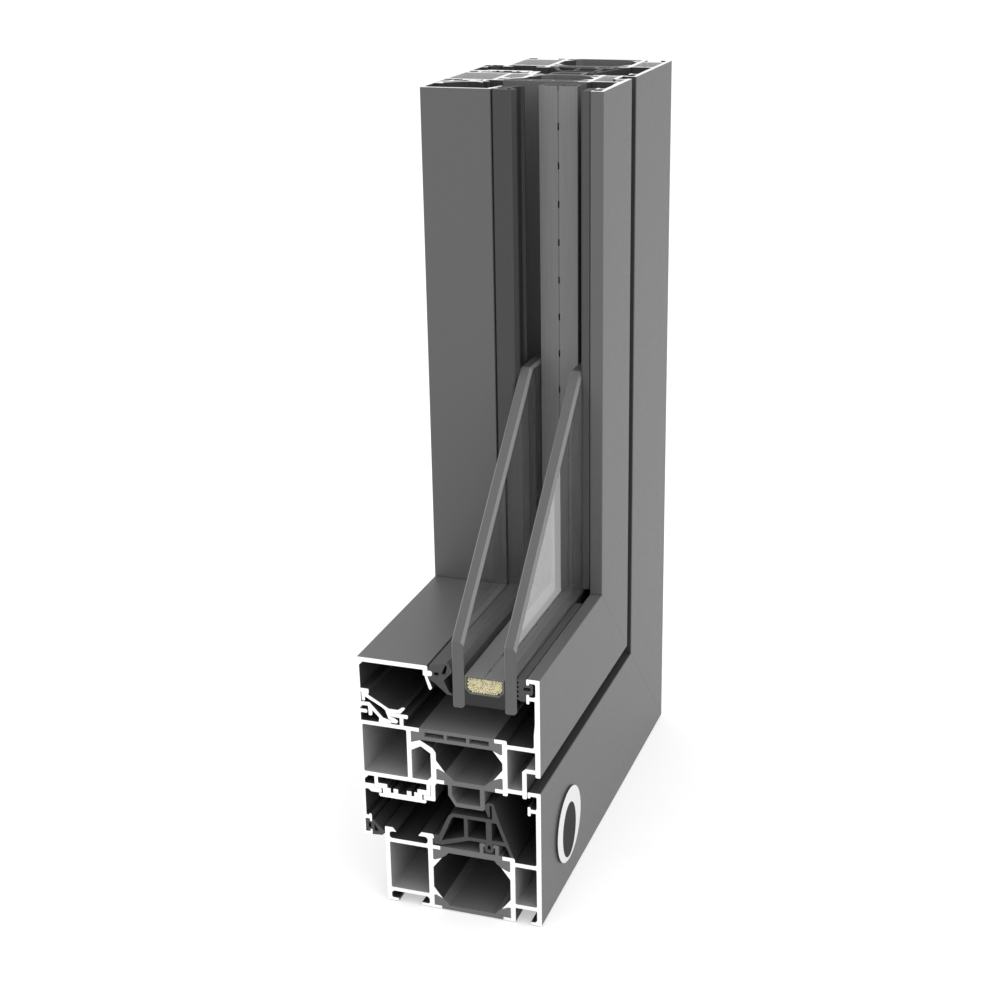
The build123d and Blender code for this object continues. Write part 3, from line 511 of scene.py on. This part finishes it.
for node_name in nodes:
    arm_name, _, piece = node_name.partition("_")
    if piece in finishes:
        chosen = [finish[arm_name] if isinstance(finish, dict) else finish for finish in finishes[piece]]
        print(node_name, dress(node_name, *chosen))

# %% [markdown]
# The badge has no sawn end. Its choice goes by direction: the disc's face looks straight out and is
# printed, and the thin rim around it takes the darker coat as painted shade.

# %% Face and rim of the badge
mesh = nodes["round_badge"].data
mesh.materials.clear()
for finish in (badge, rebate_shade_coat):
    mesh.materials.append(finish)
for polygon in mesh.polygons:
    # The rim takes the darker coat as painted shade.
    polygon.material_index = 1 if abs(polygon.normal.y) < 0.5 else 0
print("round_badge", [sum(p.material_index == i for p in mesh.polygons) for i in (0, 1)])

# %% [markdown]
# On the panes the choice goes by direction: the two big faces look straight out and in, the
# arrises lie on a slant between them, and every other face is a ground edge.

# %% Faces and edges of the panes
for node_name in ("outer_glass_pane", "inner_glass_pane"):
    mesh = nodes[node_name].data
    mesh.materials.clear()
    for finish in (glass, ground, arris):
        mesh.materials.append(finish)
    for polygon in mesh.polygons:
        lean = abs(polygon.normal.y)
        polygon.material_index = 0 if lean > 0.99 else 2 if lean > 0.3 else 1
    print(node_name, [sum(p.material_index == i for p in mesh.polygons) for i in (0, 1, 2)])

# %% [markdown]
# The beads are about a millimetre across. At the sawn end they show as a packed layer of little
# balls. They are laid out on a hexagonal grid, moved a little at random and varied in size. Each
# stands half out of the filling, which ends a little inside the tube, so none passes the saw cut.

# %% Loose beads at the sawn end
bead_size = 0.0005
bevel = 0.0016  # in the two lower corners of the tube
scatter = random.Random(7)
low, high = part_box("sill_desiccant")
balls = bmesh.new()
step, row, made = bead_size * 1.85, 0, 0
rise = low.z + bead_size * 0.9
while rise < high.z - bead_size * 0.6:
    depth = low.y + bead_size * (1.0 if row % 2 else 1.9)
    while depth < high.y - bead_size * 0.8:
        if min(depth - low.y, high.y - depth) + rise - low.z > bevel + bead_size * 1.5:
            centre = Vector((low.x + scatter.uniform(0, 0.4) * bead_size,
                             depth + scatter.uniform(-0.22, 0.22) * bead_size,
                             rise + scatter.uniform(-0.18, 0.18) * bead_size))
            bmesh.ops.create_icosphere(balls, subdivisions=2, radius=bead_size * scatter.uniform(0.8, 1.12),
                                       matrix=Matrix.Translation(centre))
            made += 1
        depth += step
    rise += step * 0.86
    row += 1
for ball_face in balls.faces:
    ball_face.smooth = True
mesh = bpy.data.meshes.new("sill_end_beads")
balls.to_mesh(mesh)
balls.free()
mesh.materials.append(bead_finish)
layer = bpy.data.objects.new("sill_end_beads", mesh)
bpy.context.scene.collection.objects.link(layer)
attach(layer, "root")
print(layer.name, made, "beads, front at", round(min(v.co.x for v in mesh.vertices), 5))

# %% [markdown]
# A product photograph on white is lit evenly from all sides, with one large soft lamp that shows
# which way is up. The world gives the even part. Rays that come straight from the camera, from a
# reflection or through the glass see it as plain white, so metal and glass show a white room.

# %% World and lamps
world = bpy.data.worlds.new("white studio")
bpy.context.scene.world = world
world.use_nodes = True
tree = world.node_tree
paths = put(tree, "ShaderNodeLightPath")
seen = maths(tree, "MAXIMUM", paths.outputs["Is Camera Ray"],
             maths(tree, "MAXIMUM", paths.outputs["Is Glossy Ray"], paths.outputs["Is Transmission Ray"]))
level = put(tree, "ShaderNodeMapRange", {"Value": seen, "To Min": 0.78, "To Max": 1.0})
background = tree.nodes["Background"]
background.inputs["Color"].default_value = (1, 1, 1, 1)
tree.links.new(level.outputs[0], background.inputs["Strength"])


def soft_lamp(name, place, target, size, watts):
    """A square area lamp that points at a spot."""
    lamp = bpy.data.lights.new(name, "AREA")
    lamp.shape, lamp.size, lamp.energy = "SQUARE", size, watts
    holder = bpy.data.objects.new(name, lamp)
    holder.location = place
    holder.rotation_mode = "QUATERNION"
    holder.rotation_quaternion = (Vector(target) - Vector(place)).to_track_quat("-Z", "Y")
    bpy.context.scene.collection.objects.link(holder)
    return holder


soft_lamp("front lamp", (-0.9, -1.5, 1.5), (0, 0, 0.15), 1.8, 8.0)
soft_lamp("top lamp", (-0.2, 0.3, 2.0), (0, 0, 0.15), 1.6, 5.0)

# %% [markdown]
# The floor is pale and plain. To the camera it glows a little, so that it reaches white where the
# light falls on it and only the soft shadow at the foot of the object stays visible.

# %% Floor
floor_mesh = bpy.data.meshes.new("floor")
ground_plate = bmesh.new()
bmesh.ops.create_circle(ground_plate, cap_ends=True, segments=64, radius=12.0)
ground_plate.to_mesh(floor_mesh)
ground_plate.free()
floor = bpy.data.objects.new("floor", floor_mesh)
floor.location.z = -0.0005
bpy.context.scene.collection.objects.link(floor)
floor_finish, tree, shader = finish_for("pale floor")
grain = put(tree, "ShaderNodeGroup", {"Colour": (0.8, 0.8, 0.8, 1), "Size": 0.02, "Contrast": 0.01},
            node_tree=grain_tree)
tree.links.new(grain.outputs["Colour"], shader.inputs["Base Color"])
shader.inputs["Roughness"].default_value = 1.0
shader.inputs["Specular IOR Level"].default_value = 0.0
paths = put(tree, "ShaderNodeLightPath")
seen = maths(tree, "MAXIMUM", paths.outputs["Is Camera Ray"],
             maths(tree, "MAXIMUM", paths.outputs["Is Glossy Ray"], paths.outputs["Is Transmission Ray"]))
glow = put(tree, "ShaderNodeMapRange", {"Value": seen, "To Min": 0.0, "To Max": 0.45})
shader.inputs["Emission Color"].default_value = (1, 1, 1, 1)
tree.links.new(glow.outputs[0], shader.inputs["Emission Strength"])
floor_mesh.materials.append(floor_finish)
print("floor at", floor.location.z)

# %% [markdown]
# The camera stands to the left of the sawn end, a little above the top of the sill, about eight
# tenths of a metre away. Its place, its aim and a one-degree tilt were fitted to known corners of
# the section, so that straight edges run as they do in the photograph.

# %% Camera
camera_data = bpy.data.cameras.new("camera")
camera_data.sensor_width, camera_data.lens = 36.0, 63.7
camera_data.shift_x, camera_data.shift_y = 0.003, -0.001
camera_data.clip_start, camera_data.clip_end = 0.01, 50.0
camera = bpy.data.objects.new("camera", camera_data)
stand, aim, tilt = Vector((-0.7134, -0.2390, 0.4269)), Vector((-0.0089, 0.0105, 0.1546)), math.radians(-1.05)
camera.matrix_world = (Matrix.Translation(stand) @ (aim - stand).to_track_quat("-Z", "Y").to_matrix().to_4x4()
                       @ Matrix.Rotation(tilt, 4, "Z"))
bpy.context.scene.collection.objects.link(camera)
bpy.context.scene.camera = camera
print("camera", round((aim - stand).length, 3), "m from its aim")

# %% [markdown]
# The picture keeps plain colour: no film curve, no grading.

# %% Picture settings and the end
bpy.context.scene.view_settings.view_transform = "Standard"
